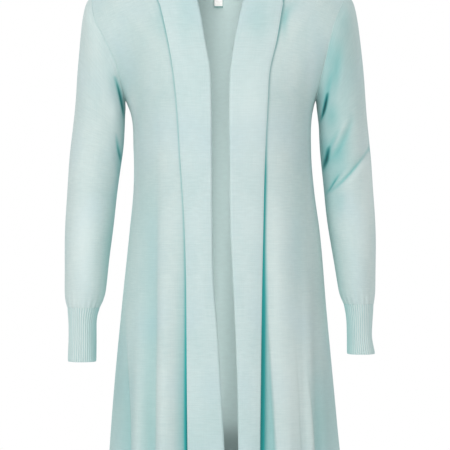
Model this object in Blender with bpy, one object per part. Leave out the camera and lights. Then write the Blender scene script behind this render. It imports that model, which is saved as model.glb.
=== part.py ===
# An open-front cardigan in fine knit, hanging open as it is worn, with no wearer.
# The neck point of each shoulder seam is at height 0, on the line through both shoulders.
# The front faces -Y, and the wearer's left side is at +X.
# Sizes are in millimetres here and become metres where the meshes are made.
import math

import bmesh
import bpy
import numpy as np

MM = 0.001

# Driving dimensions
HEM = -840.0
UNDERARM = -225.0
NECK_HALF = 90.0
NECK_DROP = 26.0
SHOULDER_SLOPE = 0.325
SHOULDER_ROUND = 0.00176
FRONT_SHOULDER_ROUND = 95.0
BACK_SHOULDER_ROUND = 80.0
SECTION_FULLNESS = 2.3
JERSEY = 1.5
RIB_CLOTH = 1.6
BAND_CLOTH = 2.4
SEAM_GAP = 0.3
ARMHOLE_GAP = 0.36
BAND_GAP = 0.4

# Grid sizes
ROWS_BELOW = (HEM, -776, -700, -620, -540, -460, -395, -335, -285, -250)
ARMHOLE_STEPS = 12
FRONT_COLUMNS = 22
SHOULDER_COLUMNS = 8
NECK_COLUMNS = 18
FINE_SAMPLES = 500

RIGHT = -1
LEFT = 1
SIDE_NAMES = {RIGHT: "right", LEFT: "left"}


def table(names, rows):
    """The columns of a table, by name."""
    return dict(zip(names.split(), np.array(rows, float).T))


# Body sections: half widths from the centre line, and depths from the side seams' plane.
# Above the underarm the widths reach past the armholes, which cut the panels there.
BODY = table("height right_width left_width front_depth back_depth", (
    (HEM, 179, 196, 132, 116),
    (-776, 175, 188, 128, 112),
    (-683, 168, 179, 123, 106),
    (-556, 156, 167, 116, 98),
    (-430, 143, 156, 111, 91),
    (-366, 137, 147.3, 111, 89),
    (-303, 137, 142.7, 115, 91),
    (-240, 143.5, 146, 114, 94),
    (UNDERARM, 150, 150, 112, 95),
    (-200, 163, 163, 108, 95),
    (-145, 203, 203, 94, 94),
    (-100, 240, 240, 80, 89),
    (-57, 262, 262, 70, 80),
    (0, 280, 280, 62, 62),
    (40, 290, 290, 55, 55),
))

# Armhole seams: distance from the centre line at each height.
ARMHOLE = table("height right left", (
    (UNDERARM, 150, 150),
    (-207, 154, 153),
    (-169, 164, 162),
    (-134, 180, 170),
    (-101, 196, 179.5),
    (-75, 201, 190.5),
    (-57, 200, 197),
))

# Sleeve rings: the outer and inner points of each, its half depth and how far back it lies.
SLEEVE = table(
    "outer_height inner_height right_outer right_inner left_outer left_inner half_depth back", (
        (-57, -225, 200, 150, 197, 150, 62, 0),
        (-72, -228, 211, 150, 208.5, 150.5, 62, 0),
        (-96, -232, 217, 149.8, 215, 151, 61, 0),
        (-130, -238, 221.5, 149.5, 220.5, 151.5, 60, 1),
        (-172, -248, 225, 150, 225, 152.5, 58, 2),
        (-218, -268, 228.5, 151, 229, 155, 56, 3),
        (-270, -298, 234, 153.5, 233.7, 157, 54, 5),
        (-330, -342, 240, 159.5, 239, 161, 51, 7),
        (-395, -398, 244, 166.5, 243.4, 166.7, 47.5, 5),
        (-462, -460, 245.5, 174, 244.8, 176, 43.5, -2),
        (-520, -516, 245, 179.5, 243.5, 184.5, 39, -11),
        (-540, -538, 243.5, 183.5, 242, 188.5, 34.5, -15),
        (-553, -553, 240.5, 189.5, 240.5, 193.5, 30, -18),
    ))
SLEEVE_RINGS = (0, 0.6, 1.3, 2.1, 2.9, 3.7, 4.5, 5.2, 5.8, 6.2, 6.6, 7, 7.4, 7.8, 8.3, 9, 9.8,
                10.5, 11.2, 12)
ARMHOLE_REACH = 4.0
SLEEVE_RADIUS = 45.0

# Cuff rings, below the sleeve's last one.
CUFF = table(
    "right_height left_height right_outer right_inner left_outer left_inner half_depth back", (
        (-553.3, -553.3, 240.5, 189.5, 240.5, 193.5, 30, -18),
        (-572, -571, 238.5, 194.2, 238.5, 197.5, 27, -20.5),
        (-602, -597, 238.5, 194.5, 238, 198.5, 26.5, -24),
        (-637, -626, 238.8, 194, 242, 198, 27.5, -28),
    ))
CUFF_RIBS = 38
RIB_RELIEF = 0.9

# Sleeve creases: lines across a ring's angle (0 outer, 90 front, 180 inner) and the height.
CREASES = table("side start_angle start_height end_angle end_height depth width", (
    (LEFT, 165, -374, 15, -306, 4.5, 14),
    (LEFT, 170, -338, 95, -300, 3.5, 11),
    (LEFT, 150, -296, 75, -205, 3.0, 13),
    (LEFT, 195, -372, 320, -330, 4.0, 14),
    (RIGHT, 160, -236, 120, -150, 3.0, 12),
    (RIGHT, 168, -352, 80, -322, 2.2, 16),
    (RIGHT, 200, -350, 300, -318, 3.0, 14),
))

# Collar and front band, up each front: where the roll line, the free edge and the seam lie.
BAND_FRONT = table("height right_roll left_roll right_edge left_edge right_seam left_seam", (
    (HEM, -8, 29, 50, 60, 9, 46),
    (-765, -5.3, 28.2, 51, 60.3, 12, 45),
    (-658, 0.8, 26.5, 52, 61.5, 18, 43.5),
    (-582, 5.3, 23.5, 52.6, 62.5, 22.5, 40.5),
    (-506, 11.4, 19.8, 53.3, 63.8, 28.5, 37),
    (-422, 13, 16, 55.7, 65.6, 30, 33),
    (-323, 13.6, 15, 61.8, 68, 31.6, 33),
    (-231, 14.5, 14.5, 68, 72.5, 34.5, 34.5),
    (-185, 16, 16, 73, 75.5, 38, 38),
    (-140, 23.7, 22.1, 80.5, 86, 48, 47),
    (-79, 35.9, 34.3, 94, 97, 66, 66),
    (-30, 52, 52, 109, 109, 81, 81),
    (0, 64, 64, 118, 118, 90, 90),
))
# The same round the neck, from 79 mm in front of the neck point to the centre back 90 mm on.
# The edge lies over the shoulder at a turn, which is 0 on the seam and 90 where the back hangs.
BAND_NECK = table("way roll_x roll_y roll_z edge_x edge_turn", (
    (-79, 35, -78, -79, 95, -79.5),
    (-30, 52, -46, -12, 109, -47),
    (0, 64, 3, 21, 118, 0),
    (30, 57, 32, 20, 103, 44),
    (60, 36, 48, 14, 62, 67),
    (90, 0, 54, 10, 0, 83),
))
ROLL_RADIUS = 2.9
ROLL_LIFT = 3.0
EDGE_LIFT = 5.5
BAND_BULGE = 2.0
ROLL_TURNS = (-45, 0, 45)
FALL_SHARES = (0, 0.33, 0.67, 1)

# Folds that fall to the hem: ridges stand out and valleys are negative.
FOLDS = table("side top_x hem_x top_height height inner_spread outer_spread", (
    (RIGHT, 60, 57, -300, -13, 14, 22),
    (RIGHT, 82, 88, -330, 7, 24, 14),
    (RIGHT, 98, 105, -400, -7, 10, 18),
    (RIGHT, 122, 127, -420, 5, 16, 12),
    (RIGHT, 140, 146, -480, -6, 9, 14),
    (LEFT, 68, 68, -250, -15, 12, 16),
    (LEFT, 74, 88, -400, 7, 10, 24),
    (LEFT, 112, 121, -350, -5, 20, 12),
    (LEFT, 134, 138, -480, 5, 10, 10),
    (LEFT, 146, 152, -480, -5, 8, 8),
    (LEFT, 158, 164, -500, 3, 8, 8),
))
BACK_FOLDS = table("top_x hem_x top_height height inner_spread outer_spread", (
    (-112, -142, -420, 8, 16, 16),
    (-78, -100, -380, -9, 16, 18),
    (-38, -52, -340, 8, 18, 16),
    (-4, -8, -300, -10, 18, 18),
    (34, 42, -360, 7, 18, 16),
    (70, 90, -330, -10, 18, 18),
    (108, 138, -400, 8, 16, 16),
))
FOLD_SIDE_FADE = 26.0

LABEL_CENTRE = -3.0
LABEL_WIDTH = 14.0
LABEL_CLOTH = 1.0
LABEL_TOP_GAP = 0.35
LABEL_BOTTOM_GAP = 3.0
LABEL_LEVELS = (11.85, 11, 10, 9, 8.5)

# Colours, roughness and metallic value of each material.
JERSEY_LOOK = ((0.56, 0.76, 0.75, 1), 0.85, 0.0)
RIB_LOOK = ((0.52, 0.72, 0.72, 1), 0.88, 0.0)
BAND_LOOK = ((0.60, 0.79, 0.78, 1), 0.85, 0.0)
LABEL_LOOK = ((0.86, 0.88, 0.88, 1), 0.7, 0.0)


def smooth(xs, ys, at):
    """Values of a smooth curve through the points of two columns."""
    slopes = np.gradient(ys, xs)
    at = np.clip(at, xs[0], xs[-1])
    i = np.clip(np.searchsorted(xs, at, side="right") - 1, 0, len(xs) - 2)
    step = xs[i + 1] - xs[i]
    s = (at - xs[i]) / step
    start = (2 * s**3 - 3 * s**2 + 1) * ys[i] + (s**3 - 2 * s**2 + s) * step * slopes[i]
    end = (3 * s**2 - 2 * s**3) * ys[i + 1] + (s**3 - s**2) * step * slopes[i + 1]
    return start + end


def ease(share):
    """A share of the way that starts and ends softly."""
    share = np.clip(share, 0, 1)
    return share * share * (3 - 2 * share)


def unit(vectors):
    """Vectors of length 1."""
    return vectors / np.linalg.norm(vectors, axis=-1, keepdims=True)


def body_size(name, height):
    """A size of the body at some heights."""
    return smooth(BODY["height"], BODY[name], height)


def shoulder_line(x):
    """Height of the shoulder seams, carried on straight inside the neck points."""
    beyond = np.abs(x) - NECK_HALF
    return -SHOULDER_SLOPE * beyond - SHOULDER_ROUND * np.maximum(beyond, 0) ** 2


def front_top(x):
    """Height of the fronts' last row."""
    return np.minimum(shoulder_line(x), 0)


def back_top(x):
    """Height of the back's last row: the shoulder seams, with the neckline between them."""
    neckline = -NECK_DROP * (1 - (np.abs(x) / NECK_HALF) ** 3)
    return np.where(np.abs(x) < NECK_HALF, neckline, shoulder_line(x))


FACES = {
    "front": (-1, front_top, "front_depth", FRONT_SHOULDER_ROUND),
    "back": (1, back_top, "back_depth", BACK_SHOULDER_ROUND),
}


def body_surface(x, z, face):
    """Y of the cloth's outside: a full oval section that closes over the shoulders."""
    sign, _, depth_name, shoulder_round = FACES[face]
    width = np.where(x < 0, body_size("right_width", z), body_size("left_width", z))
    oval = (1 - np.clip(np.abs(x) / width, 0, 1) ** SECTION_FULLNESS) ** (1 / SECTION_FULLNESS)
    rise = np.clip((shoulder_line(x) - z) / shoulder_round, 0, 1)
    y = sign * body_size(depth_name, z) * oval * np.sqrt(1 - (1 - rise) ** 2)
    return sign * np.maximum(sign * y, SEAM_GAP / 2)


def armhole_edge(side, rise, face):
    """X and Z on the armhole at a rise of 0 at the underarm to 1 at the shoulder."""
    top = FACES[face][1]
    column = ARMHOLE[SIDE_NAMES[side]]
    x = np.full_like(rise, column[0])
    for _ in range(20):
        z = UNDERARM + (top(x) - UNDERARM) * rise
        x = smooth(ARMHOLE["height"], column, z)
    return side * x, UNDERARM + (top(x) - UNDERARM) * rise


def along(points, shares):
    """Points at given shares of a fine line's length."""
    steps = np.linalg.norm(np.diff(points, axis=0), axis=1)
    length = np.concatenate(([0.0], np.cumsum(steps)))
    return np.column_stack([np.interp(shares * length[-1], length, column) for column in points.T])


def rises():
    """Rises of the rows from the underarm to the shoulder, as even angles round the armhole."""
    return (1 - np.cos(np.linspace(0, math.pi, ARMHOLE_STEPS + 1))) / 2


def panel_rows():
    """Each row's base height and its rise from there toward the panel's top line."""
    below = [(height, 0.0) for height in ROWS_BELOW]
    return below + [(UNDERARM, rise) for rise in rises()]


def panel_edge(side, base, rise, face):
    """X where a row ends: at the side seam, or at the armhole above it."""
    if base < UNDERARM:
        return side * body_size(SIDE_NAMES[side] + "_width", base)
    return armhole_edge(side, np.array([rise]), face)[0][0]


def row_points(x, base, rise, face):
    """Points of one row of a panel."""
    z = base + (FACES[face][1](x) - base) * rise
    return np.column_stack((x, body_surface(x, z, face), z))


def fold_offset(x, z, folds):
    """How far the folds move the cloth out, growing toward the hem."""
    total = np.zeros_like(x)
    columns = ("top_x", "hem_x", "top_height", "height", "inner_spread", "outer_spread")
    for top_x, hem_x, top, height, inner, outer in zip(*(folds[name] for name in columns)):
        share = np.clip((top - z) / (top - HEM), 0, 1)
        away = x - (top_x + (hem_x - top_x) * share)
        spread = np.where(away < 0, inner, outer)
        total += height * ease(share * 1.15) * np.exp(-(away / spread) ** 2)
    return total


def grid_normals(grid, outward):
    """Normals of a grid of points, on the side that the outward point isn't."""
    down, across = np.gradient(grid, axis=(0, 1))
    normals = unit(np.cross(down, across))
    middle = tuple(size // 2 for size in grid.shape[:2])
    if np.dot(normals[middle], grid[middle] - outward) < 0:
        normals = -normals
    return normals


def add_folds(grid, folds, mirror):
    """Moves a panel's points level, by its folds, fading out at the side seams."""
    normals = grid_normals(grid, np.array((0, 0, grid[..., 2].mean())))
    normals[..., 2] = 0
    x, z = grid[..., 0], grid[..., 2]
    width = np.where(x < 0, body_size("right_width", z), body_size("left_width", z))
    fade = ease((width - np.abs(x)) / FOLD_SIDE_FADE)
    offset = fold_offset(x * mirror, z, folds) * fade
    return grid + unit(normals) * offset[..., None]


def front_grid(side):
    """Outside points of a front, from its band seam to its side seam and armhole."""
    name = SIDE_NAMES[side]
    shares = np.linspace(0, 1, FRONT_COLUMNS + 1)
    reach = np.sin(np.linspace(0, math.pi / 2, FINE_SAMPLES))
    rows = []
    for base, rise in panel_rows():
        inner = side * smooth(BAND_FRONT["height"], BAND_FRONT[name + "_seam"], base * (1 - rise))
        outer = panel_edge(side, base, rise, "front")
        rows.append(along(row_points(inner + (outer - inner) * reach, base, rise, "front"), shares))
    own = FOLDS["side"] == side
    folds = {name: column[own] for name, column in FOLDS.items()}
    return add_folds(np.array(rows), folds, side)


def back_grid():
    """Outside points of the back, from the right side seam and armhole to the left ones."""
    reach = np.sin(np.linspace(-math.pi / 2, math.pi / 2, 2 * FINE_SAMPLES))
    lines = []
    for base, rise in panel_rows():
        right = panel_edge(RIGHT, base, rise, "back")
        left = panel_edge(LEFT, base, rise, "back")
        x = (right + left) / 2 + (left - right) / 2 * reach
        lines.append(row_points(x, base, rise, "back"))
    tip_right, tip_left = lines[-1][0, 0], lines[-1][-1, 0]
    top_x = np.concatenate((
        np.linspace(tip_right, -NECK_HALF, SHOULDER_COLUMNS + 1)[:-1],
        np.linspace(-NECK_HALF, NECK_HALF, NECK_COLUMNS + 1),
        np.linspace(NECK_HALF, tip_left, SHOULDER_COLUMNS + 1)[1:],
    ))
    steps = np.linalg.norm(np.diff(lines[-1], axis=0), axis=1)
    length = np.concatenate(([0.0], np.cumsum(steps)))
    top_shares = np.interp(top_x, lines[-1][:, 0], length / length[-1])
    even = np.linspace(0, 1, len(top_x))
    rows = [along(line, even + (top_shares - even) * rise)
            for line, (_, rise) in zip(lines, panel_rows())]
    rows[-1] = row_points(top_x, UNDERARM, 1.0, "back")
    return add_folds(np.array(rows), BACK_FOLDS, 1)


def panel_normals(grid):
    """Directions out of a panel's wall, turned at its seams so that the pieces stay apart."""
    normals = grid_normals(grid, np.array((0, 0, grid[..., 2].mean())))
    below = len(ROWS_BELOW)
    shoulder = np.abs(grid[-1, :, 0]) > NECK_HALF - 0.01
    normals[-1, shoulder, 1] = 0
    normals[0, :, 2] = 0
    for column in (0, -1):
        if abs(grid[0, column, 1]) > SEAM_GAP:
            continue
        normals[:below, column, 1] = 0
        centre = np.array((0.0, (grid[below, column, 2] + grid[-1, column, 2]) / 2))
        normals[below:, column, 0] = 0
        normals[below:, column, 1:] = grid[below:, column, 1:] - centre
    return unit(normals)


def sleeve_ring_points(sleeve, side, station, angle):
    """Points of the sleeve's ovals at stations of its table and angles round it."""
    name = SIDE_NAMES[side]
    order = np.arange(len(sleeve["back"]), dtype=float)

    def size(column):
        return smooth(order, sleeve[column], station)

    outer = np.stack((side * size(name + "_outer"), 0 * station, size("outer_height")), axis=-1)
    inner = np.stack((side * size(name + "_inner"), 0 * station, size("inner_height")), axis=-1)
    centre = (outer + inner) / 2
    centre[..., 1] = size("back")
    depth = size("half_depth") * np.sin(angle)
    points = centre + np.cos(angle)[..., None] * (outer - inner) / 2
    points[..., 1] -= depth
    return points


def armhole_loop(side, angle):
    """Points of the armhole at angles round it, 0 at the shoulder and 180 at the underarm."""
    rise = (1 + np.cos(angle)) / 2
    front_x, front_z = armhole_edge(side, rise, "front")
    back_x, back_z = armhole_edge(side, rise, "back")
    front = np.stack((front_x, body_surface(front_x, front_z, "front"), front_z), axis=-1)
    back = np.stack((back_x, body_surface(back_x, back_z, "back"), back_z), axis=-1)
    loop = np.where((np.sin(angle) > 0)[:, None], front, back)
    loop[np.abs(np.sin(angle)) < 1e-6, 1] = 0
    return loop


def crease_offset(side, angle, height, radius):
    """How far a sleeve's creases take its cloth in, at points of its rings."""
    total = np.zeros_like(height)
    names = ("side", "start_angle", "start_height", "end_angle", "end_height", "depth", "width")
    for own, start_angle, start, end_angle, end, depth, width in zip(*(CREASES[n] for n in names)):
        if own != side:
            continue
        run = np.array((math.radians(end_angle - start_angle) * radius, end - start))
        around = (angle - math.radians(start_angle)) * radius
        share = np.clip((around * run[0] + (height - start) * run[1]) / run.dot(run), 0, 1)
        away = np.hypot(around - share * run[0], height - start - share * run[1])
        total -= depth * np.exp(-(away / width) ** 2) * np.sin(math.pi * (0.15 + 0.7 * share))
    return total


def sleeve_grid(side):
    """Outside points of a sleeve, ring by ring from the armhole to the cuff."""
    columns = 2 * ARMHOLE_STEPS
    angles = np.linspace(0, 2 * math.pi, columns, endpoint=False)
    station, angle = np.meshgrid(np.array(SLEEVE_RINGS, float), angles, indexing="ij")
    points = sleeve_ring_points(SLEEVE, side, station, angle)
    loop = armhole_loop(side, angles)
    loop[:, 0] += side * ARMHOLE_GAP
    start = sleeve_ring_points(SLEEVE, side, np.zeros(columns), angles)
    fade = 1 - ease(station / ARMHOLE_REACH)
    points += fade[..., None] * (loop - start)
    centre = points.mean(axis=1, keepdims=True)
    outward = points - centre
    outward[..., 2] = 0
    offset = crease_offset(side, angle, points[..., 2], SLEEVE_RADIUS) * (1 - fade)
    return points + unit(outward) * offset[..., None]


def tube_normals(grid):
    """Directions out of a tube's wall."""
    wrapped = np.concatenate((grid[:, -1:], grid, grid[:, :1]), axis=1)
    down, across = np.gradient(wrapped, axis=(0, 1))
    normals = unit(np.cross(down, across))[:, 1:-1]
    if np.sum(normals * (grid - grid.mean(axis=1, keepdims=True))) < 0:
        normals = -normals
    return normals


def sleeve_normals(grid):
    """A sleeve's wall directions, turned in the armhole's plane at its head, level at the cuff."""
    normals = tube_normals(grid)
    half = ARMHOLE_STEPS
    middle = np.array((0.0, (grid[0, 0, 2] + grid[0, half, 2]) / 2))
    normals[0, :, 0] = 0
    normals[0, :, 1:] = grid[0, :, 1:] - middle
    normals[-1, :, 2] = 0
    return unit(normals)


def cuff_grids(side):
    """Outside and inside points of a cuff: ribs are raised outside, and the inside is plain."""
    name = SIDE_NAMES[side]
    heights = CUFF[name + "_height"]
    rings = dict(CUFF, outer_height=heights, inner_height=heights)
    angles = np.linspace(0, 2 * math.pi, 2 * CUFF_RIBS, endpoint=False)
    station, angle = np.meshgrid(np.arange(len(heights), dtype=float), angles, indexing="ij")
    points = sleeve_ring_points(rings, side, station, angle)
    normals = tube_normals(points)
    normals[..., 2] = 0
    normals = unit(normals)
    relief = np.where(np.arange(2 * CUFF_RIBS) % 2 == 0, 0.0, -RIB_RELIEF)
    return points + normals * relief[None, :, None], points - normals * (RIB_CLOTH + RIB_RELIEF)


def roll_line(side, way):
    """Points of a band's roll line, by the way along its seam from the hem to the centre back."""
    name = SIDE_NAMES[side]
    front = BAND_FRONT["height"] < BAND_NECK["way"][0]
    z = BAND_FRONT["height"][front]
    x = side * BAND_FRONT[name + "_roll"][front]
    body = np.column_stack((x, body_surface(x, z, "front") - ROLL_LIFT, z))
    neck = np.column_stack([BAND_NECK["roll_" + axis] for axis in "xyz"])
    neck[:, 0] *= side
    ways = np.concatenate((z, BAND_NECK["way"]))
    return np.column_stack([smooth(ways, column, way) for column in np.vstack((body, neck)).T])


def free_edge(side, way):
    """Points of a band's free edge, which lies just clear of the cloth under it."""
    on_front = way < BAND_NECK["way"][0]
    front_x = smooth(BAND_FRONT["height"], BAND_FRONT[SIDE_NAMES[side] + "_edge"], way)
    x = side * np.where(on_front, front_x, smooth(BAND_NECK["way"], BAND_NECK["edge_x"], way))
    turn = np.radians(smooth(BAND_NECK["way"], BAND_NECK["edge_turn"], way))
    rounding = np.where(turn < 0, FRONT_SHOULDER_ROUND, BACK_SHOULDER_ROUND)
    z = np.where(on_front, way, shoulder_line(x) - rounding * (1 - np.cos(turn)))
    front_y = body_surface(x, z, "front")
    y = np.where(turn < 0, front_y, body_surface(x, z, "back"))
    lift = np.where(on_front, -math.pi / 2, turn)
    return np.column_stack((x, y + EDGE_LIFT * np.sin(lift), z + EDGE_LIFT * np.cos(lift)))


def band_grid(side, front, back, front_out, back_out):
    """Middle of a band's cloth and the wall direction at its seam, hem to centre back."""
    neck = np.arange(SHOULDER_COLUMNS, SHOULDER_COLUMNS + NECK_COLUMNS + 1)
    neck = neck[:NECK_COLUMNS // 2 + 1] if side == RIGHT else neck[:-NECK_COLUMNS // 2 - 2:-1]
    seam = np.vstack((front[:, 0], back[-1, neck[1:]]))
    out = np.vstack((front_out[:, 0], back_out[-1, neck[1:]]))
    seam[len(front) - 1, 1] = 0
    way = np.concatenate((front[:, 0, 2], NECK_HALF - np.abs(back[-1, neck[1:], 0])))
    roll = roll_line(side, way)
    edge = free_edge(side, way)
    start = seam - out * JERSEY / 2
    path = unit(np.gradient(roll, axis=0))
    path[-1] = (-side, 0, 0)
    into = (start + edge) / 2 - roll
    into = unit(into - np.sum(into * path, axis=1, keepdims=True) * path)
    lift = np.cross(into, path)
    lift *= np.sign(np.sum(lift * out, axis=1, keepdims=True))
    apart = roll - start
    apart = unit(apart - np.sum(apart * out, axis=1, keepdims=True) * out)
    start = start + apart * BAND_GAP
    under = roll + ROLL_RADIUS * (into - lift)
    over = roll + ROLL_RADIUS * (into + lift)
    profile = [start, (start + under) / 2, under]
    for turn in np.radians(ROLL_TURNS):
        inward = ROLL_RADIUS * (1 - math.cos(turn))
        profile.append(roll + into * inward + lift * ROLL_RADIUS * math.sin(turn))
    for share in FALL_SHARES:
        bulge = BAND_BULGE * 4 * share * (1 - share)
        profile.append(over + (edge - over) * share + lift * bulge)
    grid = np.stack(profile, axis=1)
    grid[-1, :, 0] = side * SEAM_GAP / 2
    return grid, out


def band_normals(grid, out):
    """A band's wall directions: along the panel's at the seam, and flat at the centre back."""
    down, across = np.gradient(grid, axis=(0, 1))
    normals = unit(np.cross(down, across))
    if np.sum(normals[:, 1] * out) < 0:
        normals = -normals
    normals[:, 0] = out
    normals[0, :, 2] = 0
    normals[-1, :, 0] = 0
    return unit(normals)


def label_grid(back, back_out):
    """Outside points of the label, from the back's inside points moved further in."""
    inside = back - back_out * JERSEY
    below = len(ROWS_BELOW)
    levels = np.array(LABEL_LEVELS, float)
    rows = []
    for level in levels:
        lower = below + int(level)
        share = level - int(level)
        upper = min(lower + 1, len(back) - 1)
        line = inside[lower] * (1 - share) + inside[upper] * share
        out = unit(back_out[lower] * (1 - share) + back_out[upper] * share)
        x = LABEL_CENTRE + np.linspace(-0.5, 0.5, 5) * LABEL_WIDTH
        on_line = np.column_stack([np.interp(x, line[:, 0], column) for column in line.T])
        on_out = np.column_stack([np.interp(x, line[:, 0], column) for column in out.T])
        hang = (levels[0] - level) / (levels[0] - levels[-1])
        gap = LABEL_TOP_GAP + (LABEL_BOTTOM_GAP - LABEL_TOP_GAP) * hang
        rows.append(on_line - on_out * gap)
    return np.array(rows)


def material(name, look):
    """A material with its colour, roughness and metallic value."""
    colour, roughness, metallic = look
    made = bpy.data.materials.new(name)
    made.use_nodes = True
    shader = made.node_tree.nodes["Principled BSDF"]
    shader.inputs["Base Color"].default_value = colour
    shader.inputs["Roughness"].default_value = roughness
    shader.inputs["Metallic"].default_value = metallic
    return made


def cloth_wall(name, outer, inner, look, tube=False):
    """A closed wall of cloth between two grids of points, open or joined round as a tube."""
    rows, columns = outer.shape[:2]
    corners = np.arange(rows * columns).reshape(rows, columns)
    if tube:
        corners = np.concatenate((corners, corners[:, :1]), axis=1)
    below = corners + rows * columns
    faces = []

    def strip(first, second):
        faces.extend(zip(first[:-1], first[1:], second[1:], second[:-1]))

    for row in range(rows - 1):
        strip(corners[row], corners[row + 1])
        strip(below[row + 1], below[row])
    strip(below[0], corners[0])
    strip(corners[-1], below[-1])
    if not tube:
        strip(corners[:, 0], below[:, 0])
        strip(below[:, -1], corners[:, -1])
    points = np.concatenate((outer.reshape(-1, 3), inner.reshape(-1, 3))) * MM
    mesh = bpy.data.meshes.new(name)
    mesh.from_pydata(points.tolist(), [], [tuple(map(int, face)) for face in faces])
    shape = bmesh.new()
    shape.from_mesh(mesh)
    bmesh.ops.recalc_face_normals(shape, faces=shape.faces)
    shape.to_mesh(mesh)
    shape.free()
    mesh.materials.append(material(name, look))
    mesh.shade_smooth()
    mesh.set_sharp_from_angle(angle=math.radians(40))
    piece = bpy.data.objects.new(name, mesh)
    bpy.context.scene.collection.objects.link(piece)
    return piece


def build_panels():
    """The two fronts and the back, and their grids for the pieces that are sewn to them."""
    panels = {}
    for name, grid in (("front_right_panel", front_grid(RIGHT)),
                       ("front_left_panel", front_grid(LEFT)),
                       ("back_panel", back_grid())):
        normals = panel_normals(grid)
        cloth_wall(name, grid, grid - normals * JERSEY, JERSEY_LOOK)
        panels[name] = (grid, normals)
    return panels


def build_sleeve(side):
    """A sleeve and its cuff."""
    name = SIDE_NAMES[side]
    grid = sleeve_grid(side)
    cloth_wall("sleeve_" + name, grid, grid - sleeve_normals(grid) * JERSEY, JERSEY_LOOK, tube=True)
    outer, inner = cuff_grids(side)
    cloth_wall("cuff_" + name, outer, inner, RIB_LOOK, tube=True)


def build_band(side, panels):
    """One half of the shawl collar, which runs down the front as its folded band."""
    front, front_out = panels["front_" + SIDE_NAMES[side] + "_panel"]
    back, back_out = panels["back_panel"]
    grid, out = band_grid(side, front, back, front_out, back_out)
    half = band_normals(grid, out) * BAND_CLOTH / 2
    half[:, 0] *= JERSEY / BAND_CLOTH
    cloth_wall("band_" + SIDE_NAMES[side], grid + half, grid - half, BAND_LOOK)


def build_label(panels):
    """The blank label inside the back neck."""
    back, back_out = panels["back_panel"]
    grid = label_grid(back, back_out)
    inward = -grid_normals(grid, np.array((0, 0, grid[..., 2].mean())))
    cloth_wall("neck_label", grid, grid + inward * LABEL_CLOTH, LABEL_LOOK)


def main():
    for old in list(bpy.data.objects):
        bpy.data.objects.remove(old)
    panels = build_panels()
    for side in (RIGHT, LEFT):
        build_sleeve(side)
        build_band(side, panels)
    build_label(panels)


main()
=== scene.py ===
# Open-front cardigan in fine pale aqua knit: cloth walls, ribs, seams, label, light and camera.
# Lengths are in millimetres until a mesh is made. Angles round a sleeve are 0 outside and 90 in front.
import math
from functools import partialmethod
import bpy
import numpy as np
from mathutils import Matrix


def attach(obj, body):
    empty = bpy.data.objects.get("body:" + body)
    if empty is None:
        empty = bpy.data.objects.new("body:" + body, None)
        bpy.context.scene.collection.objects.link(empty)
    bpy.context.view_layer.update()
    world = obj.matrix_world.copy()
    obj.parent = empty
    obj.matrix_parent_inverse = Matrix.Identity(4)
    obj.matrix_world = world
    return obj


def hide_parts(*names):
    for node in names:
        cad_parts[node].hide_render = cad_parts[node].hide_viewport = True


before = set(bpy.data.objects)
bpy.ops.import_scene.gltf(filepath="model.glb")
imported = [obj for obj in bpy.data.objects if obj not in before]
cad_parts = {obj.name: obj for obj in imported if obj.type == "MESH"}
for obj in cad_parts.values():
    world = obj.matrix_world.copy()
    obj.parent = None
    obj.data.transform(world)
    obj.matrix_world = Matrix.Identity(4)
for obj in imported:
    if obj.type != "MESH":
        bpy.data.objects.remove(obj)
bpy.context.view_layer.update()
mm = 0.001
right, left = -1, 1
front, back = -1, 1
sideName = {right: "right", left: "left"}


words = {"right": right, "left": left, "front": front, "back": back, "panel": 0, "sleeve": 1, "band": 2}


def columnsOf(table):
    # the columns of a table by name: a line of names, then a line of numbers for each row
    # a line that ends in a colon says which words the rows under it begin with
    names, *lines = table.strip().splitlines()
    rows, group = [], []
    for line in lines:
        if line.endswith(":"):
            group = [words[word] for word in line[:-1].split()]
        else:
            rows.append(group + [float(cell) for cell in line.split()])
    return dict(zip(names.split(), np.array(rows, float).T))


def rowsOf(table, **wanted):  # the rows of a table whose columns have the wanted values
    rows = [dict(zip(table, row)) for row in zip(*table.values())]
    return [row for row in rows if all(row[name] == value for name, value in wanted.items())]


# how the body is cut and how it hangs
bodyCut = {
    "hem": -840.0,
    "underarm": -225.0,
    "neckHalf": 90.0,
    "neckDrop": 26.0,
    "slope": 0.325,
    "slopeRound": 0.00176,
    "frontRound": 95.0,
    "backRound": 80.0,
    "fullness": 2.3,
    "cloth": 1.5,
    "seamGap": 0.3,
    # painted shade on the hem's inside: how dark it is, how high that reaches, and over what height it fades
    "paintedHemShadeStrength": 0.74,
    "paintedHemShadeHeight": 107,
    "paintedHemShadeFade": 50,
    # the folds fade out so far from the side seams; their valleys get painted shade by depth, cloth turned
    # sideways gets painted shade, and the fronts' painted shade reaches behind the side seam
    "seamFade": 26,
    "valleyDepth": 16,
    "valleyShade": 0.40,
    "turnedShade": 0.16,
    "behindSeam": 42,
    # slack in the cloth: half a millimetre, in waves across and down, from a little under the shoulder
    "slack": 0.5,
    "slackTop": -60,
    "slackFade": 80,
    "rowsBelow": 150,
    "rowsAbove": 72,
    "frontColumns": 112,
    "backColumns": 160,
    "sections": columnsOf("""
height rightWidth leftWidth frontDepth backDepth
-840 179 196 132 116
-776 175 188 128 112
-683 168 179 123 106
-556 156 167 116 98
-430 143 156 111 91
-366 137 147.3 111 89
-303 137 142.7 115 91
-240 143.5 146 114 94
-225 150 150 112 95
-200 163 163 108 95
-145 203 203 94 94
-100 240 240 80 89
-57 262 262 70 80
0 280 280 62 62
40 290 290 55 55"""),
    "armhole": columnsOf("""
height right left
-225 150 150
-207 154 153
-169 164 162
-134 180 170
-101 196 179.5
-75 201 190.5
-57 200 197"""),
}

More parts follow.
